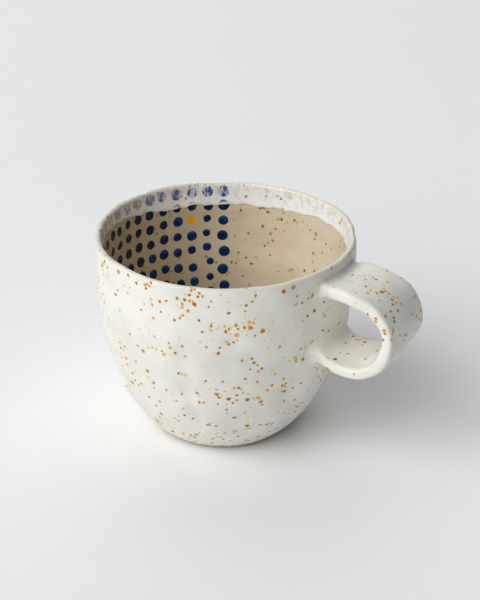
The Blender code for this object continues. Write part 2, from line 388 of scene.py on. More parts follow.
def capped_faces(rows, columns):
    """Quads between the rows, and triangles from the first and last row to two centre points,
    which come after all the rows."""
    faces = grid_faces(rows, columns, False)
    first, last, base = rows * columns, rows * columns + 1, (rows - 1) * columns
    faces += [[first, (line + 1) % columns, line] for line in range(columns)]
    faces += [[last, base + line, base + (line + 1) % columns] for line in range(columns)]
    return faces


def turned_over(faces):
    return [face[::-1] for face in faces]


def set_values(piece, name, values, domain="POINT"):
    kind = "FLOAT_VECTOR" if np.ndim(values) == 2 else "FLOAT"
    made = piece.data.attributes.new(name, kind, domain)
    field = "vector" if kind == "FLOAT_VECTOR" else "value"
    made.data.foreach_set(field, np.asarray(values, np.float32).ravel())


def ramp_rows(start, end, step):
    """Evenly spaced shares from 0 to 1 for a stretch of this length."""
    return np.linspace(0, 1, max(int(abs(end - start) / step), 2) + 1)


def even_heights(start, end, radius_of, step):
    """Heights from start to end that space points evenly along the turned curve."""
    fine = np.linspace(start, end, 2000)
    radii = radius_of(fine)
    run = np.concatenate([[0], np.cumsum(np.hypot(np.diff(fine), np.diff(radii)))])
    count = max(int(run[-1] / step), 2)
    return np.interp(np.linspace(0, run[-1], count + 1), run, fine)


def offset_line(radius_of, heights, distance):
    """Points (radius, height) this far inside the turned curve, square to it."""
    radii = radius_of(heights)
    slope = radius_of(heights + SLOPE_STEP) - radius_of(heights - SLOPE_STEP)
    slope = slope / (2 * SLOPE_STEP)
    size = np.hypot(1, slope)
    return radii - distance / size, heights + distance * slope / size


class Rows:
    """Rows of a turned surface, each with its radius, height and looks at every column: how thin
    the glaze is, 1 where it is the band's, how worn and painted-shaded the lip is, and how far up
    the band it is."""

    def __init__(self, turn):
        self.turn = turn
        self.radius = []
        self.height = []
        self.marks = {"thin": [], "band": [], "lip": [], "upper": []}

    def add(self, radius, height, **marks):
        level = np.zeros_like(self.turn)
        self.radius.append(level + radius)
        self.height.append(level + height)
        for name, values in self.marks.items():
            values.append(level + marks.get(name, 0))

    def points(self):
        return pinched(self.turn[None, :], np.array(self.radius), np.array(self.height))


def build_white_wall(material):
    """White glaze from its beaded edge inside, over the lip and down to the bare foot."""
    turn = np.linspace(0, 2 * math.pi, COLUMNS, endpoint=False)
    rows = Rows(turn)
    edge = HEIGHT - band_depth(turn)
    foot = foot_line(turn)
    lip_radius = LIP_THICKNESS / 2
    lip_height = HEIGHT - lip_radius
    inner = RIM_RADIUS - LIP_THICKNESS

    for step in range(BEAD_STEPS + 1):
        around = math.pi / 2 * step / BEAD_STEPS
        proud = BEAD_PROUD * math.sin(around)
        height = edge + BEAD_PROUD * (1 - math.cos(around))
        thin = 1 - step / (1.5 * BEAD_STEPS)
        rows.add(inner_radius(height) - proud, height, thin=thin, band=1)
    for share in ramp_rows(0, BAND_DEPTH - lip_radius, ROW_STEP)[1:-1]:
        height = edge + BEAD_PROUD + (lip_height - edge - BEAD_PROUD) * share
        settled = math.exp(-share * 4)
        proud = BAND_PROUD + (BEAD_PROUD - BAND_PROUD) * settled
        looks = {"thin": 0.33 * math.exp(-share * 14), "lip": share**6 * 0.5, "upper": share}
        rows.add(inner_radius(height) - proud, height, band=1, **looks)
    inside_end = len(rows.radius)
    middle = (RIM_RADIUS + inner - BAND_PROUD) / 2
    for step in range(LIP_STEPS + 1):
        around = math.pi * (1 - step / LIP_STEPS)
        height = lip_height + lip_radius * math.sin(around)
        radius = middle + (RIM_RADIUS - middle) * math.cos(around)
        band = smooth_step(-math.cos(around), -0.1, 0.8)
        rows.add(radius, height, band=band, upper=1, lip=math.sin(around) * 0.5 + 0.5)
    lip_end = len(rows.radius) - 2
    for height in even_heights(lip_height, BARE_FOOT + FOOT_STRETCH, outer_radius, ROW_STEP)[1:]:
        wear_and_shade = math.exp(-(lip_height - height) / WEAR_AND_SHADE_REACH) * 0.5
        rows.add(outer_radius(height), height, lip=wear_and_shade)
    for share in ramp_rows(0, FOOT_STRETCH, ROW_STEP)[1:]:
        fall = (foot + WHITE_THICKNESS - BARE_FOOT - FOOT_STRETCH) * share
        height = BARE_FOOT + FOOT_STRETCH + fall
        rows.add(outer_radius(height), height, thin=0.5 * share**3)
    for step in range(1, FOOT_STEPS + 1):
        around = math.pi / 2 * step / FOOT_STEPS
        height = foot + WHITE_THICKNESS * (1 - math.sin(around))
        sunk = WHITE_THICKNESS * (1 - math.cos(around))
        rows.add(outer_radius(height) - sunk, height, thin=0.5 + 0.1 * step)
    front_end = len(rows.radius)
    for share in ramp_rows(0, FOOT_BACK_STRETCH, 1)[1:]:
        height = foot + (BARE_FOOT + FOOT_BACK_STRETCH - foot) * share
        rows.add(*offset_line(outer_radius, height, WHITE_THICKNESS), thin=1)
    back_start = BARE_FOOT + FOOT_BACK_STRETCH
    for height in even_heights(back_start, lip_height, outer_radius, BACK_STEP)[1:]:
        rows.add(*offset_line(outer_radius, height, WHITE_THICKNESS))
    for step in range(1, HIDDEN_LIP_STEPS):
        around = math.pi * step / HIDDEN_LIP_STEPS
        height = lip_height + (lip_radius - WHITE_THICKNESS) * math.sin(around)
        radius = RIM_RADIUS - lip_radius + (lip_radius - WHITE_THICKNESS) * math.cos(around)
        rows.add(radius, height)
    for share in ramp_rows(0, BAND_DEPTH, BACK_STEP):
        height = lip_height + (edge - lip_height) * share
        rows.add(inner_radius(height) + WHITE_THICKNESS * (1 - share) + 0.05, height, thin=share)

    points = rows.points()
    faces = turned_over(grid_faces(len(points), COLUMNS, True))
    made = new_piece("white_glaze_wall", points.reshape(-1, 3), faces, material)
    for name, values in rows.marks.items():
        set_values(made, name, np.array(values).ravel())
    painted = Faces(made, 0, inside_end * COLUMNS)
    painted.set_marks("dot", *dot_marks())
    outside = Faces(made, 0, front_end * COLUMNS)
    crowding = np.full(front_end * COLUMNS, WALL_CROWDING)
    crowding[: inside_end * COLUMNS] = BAND_CROWDING
    crowding[inside_end * COLUMNS : lip_end * COLUMNS] = LIP_CROWDING
    low = outside.middles[:, 2] / MM < LOW_HEIGHT
    crowding[low] *= LOW_GAIN
    lip = np.arange(inside_end * COLUMNS, lip_end * COLUMNS)
    group_turn, group_height = np.array(LARGE_GROUPS, float).T
    placed = pinched(np.radians(group_turn), outer_radius(group_height), group_height)
    specks = speck_marks(outside, crowding, placed, lip, WALL_LARGE_GAIN)
    outside.set_marks("speck", *specks)
    return made


def build_liner(material):
    """Clear glaze over the clay inside, with the painted dots in it."""
    turn = np.linspace(0, 2 * math.pi, COLUMNS, endpoint=False)
    rows = Rows(turn)
    top = HEIGHT - band_depth(turn) + LINER_OVERLAP
    for radius in np.arange(0.8, LINER_MIDDLE, ROW_STEP * 1.5):
        rise = (radius / (RIM_RADIUS - WALL_THICKNESS)) ** (1 / INNER_FULLNESS)
        height = FLOOR_THICKNESS
        height += (SHOULDER_HEIGHT - FLOOR_THICKNESS) * (1 - math.cos(math.asin(rise)))
        rows.add(radius, height)
    start = rows.height[-1][0]
    for height in even_heights(start, LINER_LEVEL, inner_radius, ROW_STEP)[1:]:
        rows.add(inner_radius(height), height)
    for share in ramp_rows(LINER_LEVEL, HEIGHT - BAND_DEPTH, ROW_STEP)[1:]:
        height = LINER_LEVEL + (top - LINER_LEVEL) * share
        rows.add(inner_radius(height), height)
    front = len(rows.radius)
    for share in np.linspace(0, 1, LINER_BACK_STEPS + 1):
        height = top + (LINER_LEVEL - top) * share
        rows.add(inner_radius(height) + LINER_THICKNESS, height)
    for height in even_heights(LINER_LEVEL, start, inner_radius, BACK_STEP)[1:]:
        rows.add(*offset_line(inner_radius, height, -LINER_THICKNESS))
    rows.add(3.0, FLOOR_THICKNESS - LINER_THICKNESS)

    points = rows.points()
    faces = capped_faces(len(points), COLUMNS)
    ends = pinched(np.zeros(2), np.zeros(2), FLOOR_THICKNESS - np.array([0, LINER_THICKNESS]))
    points = np.vstack([points.reshape(-1, 3), ends])
    made = new_piece("clear_glaze_liner", points, faces, material)
    inside = Faces(made, 0, (front - 1) * COLUMNS)
    inside.set_marks("dot", *dot_marks())
    inside.set_marks("speck", *speck_marks(inside, np.full(inside.count, INSIDE_CROWDING)))
    return made


def build_clay(material):
    """The clay under all the glaze. Only its foot and underside show."""
    columns = COLUMNS // 2
    turn = np.linspace(0, 2 * math.pi, columns, endpoint=False)
    rows = Rows(turn)
    depth = CLAY_DEPTH
    lip_radius = LIP_THICKNESS / 2
    lip_height = HEIGHT - lip_radius
    for height in even_heights(FLOOR_THICKNESS + 0.4, lip_height, inner_radius, BACK_STEP):
        rows.add(*offset_line(inner_radius, height, -depth))
    for step in range(1, HIDDEN_LIP_STEPS):
        around = math.pi * (1 - step / HIDDEN_LIP_STEPS)
        height = lip_height + (lip_radius - depth) * math.sin(around)
        rows.add(RIM_RADIUS - lip_radius + (lip_radius - depth) * math.cos(around), height)
    for height in even_heights(lip_height, 4.0, outer_radius, BACK_STEP / 2):
        rows.add(*offset_line(outer_radius, height, depth))
    for height in np.arange(3.6, FOOT_EDGE, -0.3):
        rows.add(*offset_line(outer_radius, height, depth))
    base_radius, _ = offset_line(outer_radius, np.array(FOOT_EDGE), depth)
    for step in range(1, 9):
        around = math.pi / 2 * step / 8
        inward = FOOT_EDGE * (1 - math.cos(around))
        rows.add(base_radius - inward, FOOT_EDGE * (1 - math.sin(around)))
    for radius in np.linspace(base_radius - FOOT_EDGE, 1.0, 24)[1:]:
        rows.add(radius, 0.0)

    points = rows.points()
    faces = turned_over(capped_faces(len(points), columns))
    ends = pinched(np.zeros(2), np.zeros(2), np.array([FLOOR_THICKNESS - depth, 0.0]))
    return new_piece("clay_cup", np.vstack([points.reshape(-1, 3), ends]), faces, material)


# Painted dots and iron specks


def make_dots():
    """Each dot: turn, height, radius, paleness (partly painted shade), 1 for ochre, and how faint
    the band makes it.
    """
    dots = []
    for column in range(DOT_COLUMNS):
        stretch = COLUMN_STRETCH[column] if column < len(COLUMN_STRETCH) else 1.0
        for row, depth in enumerate(DOT_DEPTHS):
            depth = DOT_DEPTHS[1] + (depth - DOT_DEPTHS[1]) * (stretch if row > 1 else 1)
            turn = FIRST_COLUMN + COLUMN_PITCH * column + draws.normal(0, DOT_SCATTER[0])
            if column < 2:
                turn += COLUMN_LEAN * max(depth - DOT_DEPTHS[3], 0) / DOT_DEPTHS[3]
            height = HEIGHT - depth + draws.normal(0, DOT_SCATTER[1])
            small = SMALLER_BY * (column == SMALL_COLUMN and row > 1)
            radius = (DOT_RADIUS - small) * draws.uniform(*DOT_SPREAD)
            if column == 0:
                radius *= FIRST_COLUMN_GAIN
            if (column, row) == OCHRE_DOT:
                radius *= OCHRE_GAIN
            if height < LOW_DOT_HEIGHT:
                radius *= LOW_DOT_GAIN
            if row == 0:
                radius *= TOP_ROW_GAIN
            # Paleness is random, grows down the rows, and falls in columns further round to the
            # left: that fall is painted shade
            pale = np.clip(draws.uniform(0, 0.7) + 0.1 * row - 0.07 * column, 0, 1)
            faint = min(max(column - FAINT_FROM, 0) * FAINT_STEP, FAINT_MOST)
            ochre = float((column, row) == OCHRE_DOT)
            dots.append((turn, height, radius, pale, ochre, faint))
    return np.array(dots)


DOTS = make_dots()


def dot_marks():
    centres = pinched(DOTS[:, 0], inner_radius(DOTS[:, 1]), DOTS[:, 1]) * MM
    looks = {"pale": DOTS[:, 3], "ochre": DOTS[:, 4], "faint": DOTS[:, 5]}
    return centres, DOTS[:, 2] * MM, looks


class Faces:
    """A run of a piece's four-cornered faces, each of which can take the mark it lies under."""

    def __init__(self, piece, start, end):
        mesh = piece.data
        self.piece, self.start, self.count = piece, start, end - start
        corners = np.empty(len(mesh.loops), np.int32)
        mesh.loops.foreach_get("vertex_index", corners)
        places = np.empty(len(mesh.vertices) * 3, np.float32)
        mesh.vertices.foreach_get("co", places)
        self.corners = places.reshape(-1, 3)[corners[start * 4 : end * 4].reshape(-1, 4)]
        self.middles = self.corners.mean(axis=1)
        areas = np.empty(len(mesh.polygons), np.float32)
        mesh.polygons.foreach_get("area", areas)
        self.areas = areas[start:end] / MM**2
        self.tree = KDTree(self.count)
        for number, middle in enumerate(self.middles):
            self.tree.insert(middle, number)
        self.tree.balance()

    def set_marks(self, name, centres, radii, looks):
        """Gives each face the centre, radius and looks of the mark that covers it most."""
        chosen = np.full(self.count, -1)
        best = np.full(self.count, np.inf)
        for number, (centre, radius) in enumerate(zip(centres, radii)):
            for _, face, gap in self.tree.find_range(centre, radius + SPECK_MARGIN * MM):
                if gap - radius < best[face]:
                    best[face], chosen[face] = gap - radius, number
        faces = self.start + np.nonzero(chosen >= 0)[0]
        chosen = chosen[chosen >= 0]
        whole = len(self.piece.data.polygons)
        for look, values in {"centre": centres, "radius": radii, **looks}.items():
            found = np.zeros((whole, *values.shape[1:]))
            found[faces] = values[chosen]
            set_values(self.piece, f"{name}_{look}", found, "FACE")


def speck_marks(faces, crowding, placed=(), lip=(), large_gain=LARGE_GAIN):
    """Specks drawn at random over the faces, some in groups: random ones, and those placed at the
    given points. Those on the lip's faces are more rusty, and smaller."""
    weights = faces.areas * crowding
    count = int(round(weights.sum()))
    centres = faces.middles[draws.choice(faces.count, GROUPS, p=weights / weights.sum())] / MM
    pull = np.ones(faces.count)
    for centre in (*centres, *placed):
        gap = np.linalg.norm(faces.middles / MM - centre, axis=1)
        pull += GROUP_PULL * np.exp(-((gap / GROUP_SPREAD) ** 2) / 2)
    weights = weights * pull
    chosen = draws.choice(faces.count, count, p=weights / weights.sum())
    a, b = draws.uniform(0, 1, (2, count, 1))
    corner = faces.corners[chosen]
    low = corner[:, 0] * (1 - a) + corner[:, 1] * a
    high = corner[:, 3] * (1 - a) + corner[:, 2] * a
    on_lip = np.isin(chosen, lip)
    tone = draws.uniform(0, 1, count)
    tone = np.where(on_lip, LIP_TONE[0] + LIP_TONE[1] * tone, tone)
    radius = SPECK_RADIUS + TONE_GAIN * tone + draws.uniform(0, SPECK_SPREAD, count)
    radius = np.where(on_lip, radius * LIP_SHRINK, radius)
    radius = np.where(draws.uniform(0, 1, count) < LARGE_SHARE, radius * large_gain, radius)
    dark = (draws.uniform(0, 1, count) < DARK_SHARE).astype(float)
    return low * (1 - b) + high * b, radius * MM, {"tone": tone, "dark": dark}


# Handle


def between(place):
    """A smooth curve through the strap's stations, read at places counted in stations."""
    rows = np.array(STRAP_STATIONS)
    start = np.clip(place.astype(int), 0, len(rows) - 2)
    t = (place - start)[:, None]
    a, b, c, d = (rows[np.clip(start + k, 0, len(rows) - 1)] for k in (-1, 0, 1, 2))
    bend = (2 * a - 5 * b + 4 * c - d) * t**2 + (3 * b - 3 * c + d - a) * t**3
    return b + ((c - a) * t + bend) / 2


def strap_outline():
    """The strap's section: place across as a share of its flat, and the way each point faces."""
    ring = []
    for side in (1, -1):
        for step in range(STRAP_LINES_END + 1):
            around = math.pi * (step / STRAP_LINES_END - 0.5)
            out = math.cos(around) ** EDGE_SQUARENESS
            up = math.copysign(abs(math.sin(around)) ** EDGE_SQUARENESS, math.sin(around))
            ring.append((side, side * out, side * up))
        for step in range(1, STRAP_LINES_FLAT):
            share = 1 - 2 * step / STRAP_LINES_FLAT
            ring.append((side * share, 0.0, side))
    return np.array(ring)


def strap_surface(place):
    """Points of the strap before it is pinched, and the way they face, for rings at the places."""
    read = between(place)
    last = len(STRAP_STATIONS) - 1
    step = 0.01
    ahead = between(np.minimum(place + step, last))
    behind = between(np.maximum(place - step, 0))
    along = (ahead - behind)[:, :2]
    along = along / np.linalg.norm(along, axis=1, keepdims=True)
    outward = np.stack([-along[:, 1], np.zeros(len(place)), along[:, 0]], -1)
    centre = np.stack([read[:, 0], read[:, 3], read[:, 1]], -1)
    half_thickness = read[:, 4]
    half_flat = read[:, 2] - half_thickness
    ring = strap_outline()
    across = half_flat[:, None] * ring[None, :, 0]
    facing = outward[:, None, :] * ring[None, :, 2:3]
    facing = facing + np.array([0, 1, 0]) * ring[None, :, 1:2]
    points = centre[:, None, :] + facing * half_thickness[:, None, None]
    points = points + np.array([0, 1, 0]) * across[..., None]
    points = points + outward[:, None, :] * (read[:, 5:6] * across)[..., None]
    return points, facing


def wall_gap(points):
    return np.hypot(points[..., 0], points[..., 1]) - outer_radius(points[..., 2])


def wall_facing(points):
    height = points[..., 2]
    slope = outer_radius(height + SLOPE_STEP) - outer_radius(height - SLOPE_STEP)
    slope = slope / (2 * SLOPE_STEP)
    radius = np.hypot(points[..., 0], points[..., 1])
    found = np.stack([points[..., 0] / radius, points[..., 1] / radius, -slope], -1)
    return found / np.linalg.norm(found, axis=-1, keepdims=True)


def strap_marks(points):
    """Soft unevenness of the strap, as a push along the way that each point faces."""
    found = np.zeros(points.shape[:-1])
    for x, y, z, size, push in STRAP_MARKS:
        gap = np.linalg.norm(points - np.array([x, y, z]), axis=-1)
        found += push * np.exp(-((gap / size) ** 2) / 2)
    return found


def make_strap_marks():
    """Each mark: x, y, z, size, push."""
    marks = []
    for _ in range(STRAP_MARK_COUNT):
        x, z, half_width, shift = between(np.array([draws.uniform(*STRAP_MARK_PLACES)]))[0][:4]
        y = shift + draws.uniform(-1, 1) * half_width
        size, push = draws.uniform(*STRAP_MARK_SIZE), draws.normal(0, STRAP_MARK_PUSH)
        marks.append((x, y, z, size, push))
    return marks


STRAP_MARKS = make_strap_marks()


def end_rings(points, facing, place, upper):
    """Rings from inside the wall out to where the strap leaves the joint's curve."""
    half = len(place) // 2
    span = slice(0, half) if upper else slice(len(place) - 1, half, -1)
    gaps = wall_gap(points)[span]
    places, points, facing = place[span], points[span], facing[span]
    over, edge, under = np.array(FILLETS[0 if upper else 1])
    steep = facing[0, :, 2:3]
    fillet = edge + (over - edge) * np.maximum(steep, 0) + (under - edge) * np.maximum(-steep, 0)
    rise, spread = fillet[:, 0], fillet[:, 1]
    curve = [(-END_SUNK, -1.0 + 0 * spread), (-0.35, spread + 1.0), (-0.1, spread + 0.55)]
    for step in range(FILLET_RINGS + 1):
        share = (step / FILLET_RINGS) ** 2
        curve.append((rise * share, spread * (1 - math.sqrt(1 - (1 - share) ** 2))))
    rings = []
    for lift, reach in curve:
        lift = lift + 0 * rise
        ends = np.empty(len(rise))
        found = np.empty((len(rise), 3))
        looks = np.empty((len(rise), 3))
        for line in range(len(rise)):
            stop = int(np.argmax(gaps[:, line] > rise[line] + 0.5)) + 1
            ends[line] = np.interp(lift[line], gaps[:stop, line], places[:stop])
            keys = slice(stop) if places[0] < places[-1] else slice(stop - 1, None, -1)
            for axis in range(3):
                found[line, axis] = np.interp(ends[line], places[keys], points[keys, line, axis])
                looks[line, axis] = np.interp(ends[line], places[keys], facing[keys, line, axis])
        normal = wall_facing(found)
        level = looks - normal * (looks * normal).sum(-1, keepdims=True)
        level = level / np.linalg.norm(level, axis=-1, keepdims=True)
        moved = found + level * reach[:, None]
        radius = outer_radius(moved[:, 2]) + lift
        turn = np.arctan2(moved[:, 1], moved[:, 0])
        moved[:, 0] = radius * np.cos(turn)
        moved[:, 1] = radius * np.sin(turn)
        rings.append(moved)
    return rings, ends


def build_handle(material):
    """The strap's white glaze, whose ends curve out to lie on the wall."""
    place = np.linspace(0, len(STRAP_STATIONS) - 1, STRAP_PLACES)
    points, facing = strap_surface(place)
    upper, first = end_rings(points, facing, place, True)
    lower, last = end_rings(points, facing, place, False)
    rings = upper[:-1]
    for share in np.linspace(0, 1, STRAP_RINGS):
        here = first + (last - first) * share
        ring = np.empty((points.shape[1], 3))
        for line in range(points.shape[1]):
            for axis in range(3):
                ring[line, axis] = np.interp(here[line], place, points[:, line, axis])
        rings.append(ring)
    rings += lower[:-1][::-1]
    rings = np.array(rings)
    lines = rings.shape[1]

    along = np.roll(rings, -1, axis=0) - np.roll(rings, 1, axis=0)
    along[0], along[-1] = rings[1] - rings[0], rings[-1] - rings[-2]
    round_way = np.roll(rings, -1, axis=1) - np.roll(rings, 1, axis=1)
    normal = np.cross(round_way, along)
    normal /= np.maximum(np.linalg.norm(normal, axis=-1, keepdims=True), 1e-9)
    free = smooth_step(wall_gap(rings), *STRAP_MARK_START)
    rings = rings + normal * (strap_marks(rings) * free)[..., None]

    turn = np.arctan2(rings[..., 1], rings[..., 0])
    radius = np.hypot(rings[..., 0], rings[..., 1])
    shaped = pinched(turn, radius, rings[..., 2])
    faces = turned_over(capped_faces(len(shaped), lines))
    points = np.vstack([shaped.reshape(-1, 3), [shaped[0].mean(0), shaped[-1].mean(0)]])
    made = new_piece("white_glaze_handle", points, faces, material)
    strap = Faces(made, FILLET_RINGS * lines, (len(shaped) - FILLET_RINGS) * lines)
    strap.set_marks("speck", *speck_marks(strap, np.full(strap.count, HANDLE_CROWDING)))
    return made


# Materials


class Looks:
    """A material's node graph. A number or a socket can stand for any input."""

    def __init__(self, name):
        self.material = bpy.data.materials.new(name)
        self.material.use_nodes = True
        self.tree = self.material.node_tree
        self.shader = self.tree.nodes["Principled BSDF"]
        self.place = self.scaled(self.node("ShaderNodeTexCoord").outputs["Object"], 1 / MM)

    def node(self, kind, **settings):
        made = self.tree.nodes.new(kind)
        for name, value in settings.items():
            setattr(made, name, value)
        return made

    def feed(self, socket, value):
        if isinstance(value, bpy.types.NodeSocket):
            self.tree.links.new(value, socket)
        else:
            socket.default_value = value

    def math(self, operation, a, b):
        made = self.node("ShaderNodeMath", operation=operation)
        self.feed(made.inputs[0], a)
        self.feed(made.inputs[1], b)
        return made.outputs[0]

    def scaled(self, vector, factor):
        made = self.node("ShaderNodeVectorMath", operation="SCALE")
        self.feed(made.inputs[0], vector)
        self.feed(made.inputs["Scale"], factor)
        return made.outputs[0]

    def vector(self, operation, a, b):
        made = self.node("ShaderNodeVectorMath", operation=operation)
        self.feed(made.inputs[0], a)
        self.feed(made.inputs[1], b)
        return made.outputs["Value" if operation == "DISTANCE" else 0]

    def value(self, name):
        return self.node("ShaderNodeAttribute", attribute_name=name).outputs["Fac"]

    def noise(self, scale, detail=3.0, roughness=0.55, shift=0.0, vector=None):
        made = self.node("ShaderNodeTexNoise")
        where = self.place if vector is None else vector
        if shift:
            where = self.vector("ADD", where, (shift, shift * 1.7, -shift))
        self.feed(made.inputs["Vector"], where)
        self.feed(made.inputs["Scale"], scale)
        self.feed(made.inputs["Detail"], detail)
        self.feed(made.inputs["Roughness"], roughness)
        return made.outputs

    def ramp(self, value, start, end, low=0.0, high=1.0):
        made = self.node("ShaderNodeMapRange", interpolation_type="SMOOTHSTEP")
        for socket, given in zip(made.inputs, (value, start, end, low, high)):
            self.feed(socket, given)
        return made.outputs[0]

    def mix(self, share, a, b):
        made = self.node("ShaderNodeMix", data_type="RGBA")
        self.feed(made.inputs[0], share)
        self.feed(made.inputs[6], a if isinstance(a, bpy.types.NodeSocket) else (*a, 1))
        self.feed(made.inputs[7], b if isinstance(b, bpy.types.NodeSocket) else (*b, 1))
        return made.outputs[2]

    def wandering(self, scale, reach, shift):
        """The place, moved about by noise, so that what is drawn there has a ragged outline."""
        push = self.vector("SUBTRACT", self.noise(scale, 2.0, shift=shift)[1], (0.5, 0.5, 0.5))
        return self.vector("ADD", self.place, self.scaled(push, reach))

    def mark_centre(self, name):
        made = self.node("ShaderNodeAttribute", attribute_name=f"{name}_centre")
        return self.scaled(made.outputs["Vector"], 1 / MM)

    def mark_radius(self, name):
        """The radius of this face's mark, and 0 where the face has none."""
        return self.math("MULTIPLY", self.value(f"{name}_radius"), 1 / MM)

    def in_radii(self, name, length):
        return self.math("DIVIDE", length, self.math("MAXIMUM", self.mark_radius(name), 0.001))

    def above_mark(self, name):
        """How far this place is above its face's mark's centre, in radii."""
        parts = self.node("ShaderNodeSeparateXYZ")
        self.feed(parts.inputs[0], self.vector("SUBTRACT", self.place, self.mark_centre(name)))
        return self.in_radii(name, parts.outputs[2])

    def bump(self, height, distance, before=None):
        made = self.node("ShaderNodeBump")
        self.feed(made.inputs["Height"], height)
        made.inputs["Strength"].default_value = 1.0
        made.inputs["Distance"].default_value = distance * MM
        if before is not None:
            self.feed(made.inputs["Normal"], before)
        return made.outputs[0]

    def finish(self, colour, roughness, normal, **constants):
        self.feed(self.shader.inputs["Base Color"], colour)
        self.feed(self.shader.inputs["Roughness"], roughness)
        self.feed(self.shader.inputs["Normal"], normal)
        for name, value in constants.items():
            self.shader.inputs[name.replace("_", " ")].default_value = value
        return self.material


def inside_mark(looks, name, ragged, fineness):
    """How far this place is from its face's mark's centre, in radii, and 1 where it has a mark."""
    where = looks.wandering(fineness, ragged, 61.0)
    away = looks.vector("DISTANCE", where, looks.mark_centre(name))
    real = looks.math("GREATER_THAN", looks.mark_radius(name), 0.01)
    return looks.in_radii(name, away), real


def add_iron(looks, ground, pale, rim, core, strength=1.0):
    """Iron specks that bleed through the glaze: faint ones, rusty ones and a few black ones."""
    inside, real = inside_mark(looks, "speck", 1.35, 1.3)
    tone = looks.value("speck_tone")
    outer = looks.mix(looks.ramp(tone, 0.3, 0.7), pale, rim)
    depth = looks.math("MULTIPLY", looks.ramp(tone, 0.58, 0.92), looks.ramp(inside, 0.85, 0.25))
    speck = looks.mix(depth, outer, core)
    black = looks.math("MULTIPLY", looks.value("speck_dark"), looks.ramp(inside, 0.6, 0.4))
    speck = looks.mix(black, speck, BLACK_IRON)
    amount = looks.math("MULTIPLY", looks.ramp(inside, 1.1, 0.7), real)
    amount = looks.math("MULTIPLY", amount, looks.ramp(tone, 0.0, 0.6, 0.5, 1.0))
    return looks.mix(looks.math("MULTIPLY", amount, strength), ground, speck)


def dot_mask(looks, ragged, soft):
    """How much of a painted dot is here, and how far from its centre, in radii."""
    inside, real = inside_mark(looks, "dot", ragged, 0.55)
    return looks.math("MULTIPLY", looks.ramp(inside, 1.0 + soft, 1.0 - soft), real), inside


def white_glaze():
    looks = Looks("white_speckled_glaze")
    thin, band, lip = looks.value("thin"), looks.value("band"), looks.value("lip")
    cloud = looks.noise(0.06, 3.0, shift=3.0)[0]
    white = looks.mix(looks.ramp(cloud, 0.3, 0.7), *WHITE_TINTS)
    cover = looks.math("MULTIPLY", looks.value("upper"), 0.16)
    grey = looks.ramp(looks.math("ADD", looks.noise(0.42, 4.0, shift=9.0)[0], cover), 0.5, 0.85)
    over_clay = looks.mix(grey, *BAND_TINTS)
    stain = looks.ramp(looks.math("ADD", looks.noise(0.55, 3.0, shift=41.0)[0], cover), 0.66, 0.84)
    over_clay = looks.mix(looks.math("MULTIPLY", stain, 0.55), over_clay, BAND_STAIN)
    white = looks.mix(looks.math("MULTIPLY", band, looks.ramp(thin, 0.3, 0.0)), white, over_clay)
    mask, _ = dot_mask(looks, 0.7, 0.12)
    hanging = looks.vector("MULTIPLY", looks.place, (1, 1, 0.4))
    streak = looks.ramp(looks.noise(0.62, 3.0, 0.65, shift=77.0, vector=hanging)[0], 0.42, 0.56)
    veil = looks.math("ADD", looks.math("MULTIPLY", streak, 0.68), 0.3)
    veil = looks.math("MULTIPLY", veil, looks.math("SUBTRACT", 1.0, looks.value("dot_faint")))
    faded = looks.math("MULTIPLY", looks.math("MULTIPLY", mask, veil), looks.ramp(thin, 0.2, 0.0))
    white = looks.mix(looks.math("MULTIPLY", faded, band), white, BAND_DOT)
    rim = looks.mix(band, ORANGE, BAND_RIM)
    core = looks.mix(band, RUST, BAND_CORE)
    colour = add_iron(looks, white, PALE_OCHRE, rim, core)
    edge = looks.ramp(thin, 0.86, 0.99)
    colour = looks.mix(looks.math("MULTIPLY", edge, 0.3), colour, THIN_EDGE)
    # The lip's crest: real wear, and painted shade that tones down its lit top
    wear_and_shade = looks.math("MULTIPLY", looks.ramp(lip, 0.55, 1.0), looks.ramp(cloud, 0.3, 0.7, 0.3, 0.6))
    colour = looks.mix(wear_and_shade, colour, LIP_WEAR_AND_SHADE)
    peel = looks.noise(0.9, 3.0, shift=13.0)[0]
    swell = looks.noise(0.22, 2.0, shift=23.0)[0]
    normal = looks.bump(swell, 0.12, looks.bump(peel, 0.02))
    roughness = looks.ramp(looks.noise(0.15, 3.0, shift=19.0)[0], 0.3, 0.7, 0.36, 0.5)
    return looks.finish(colour, roughness, normal, Specular_IOR_Level=0.5)


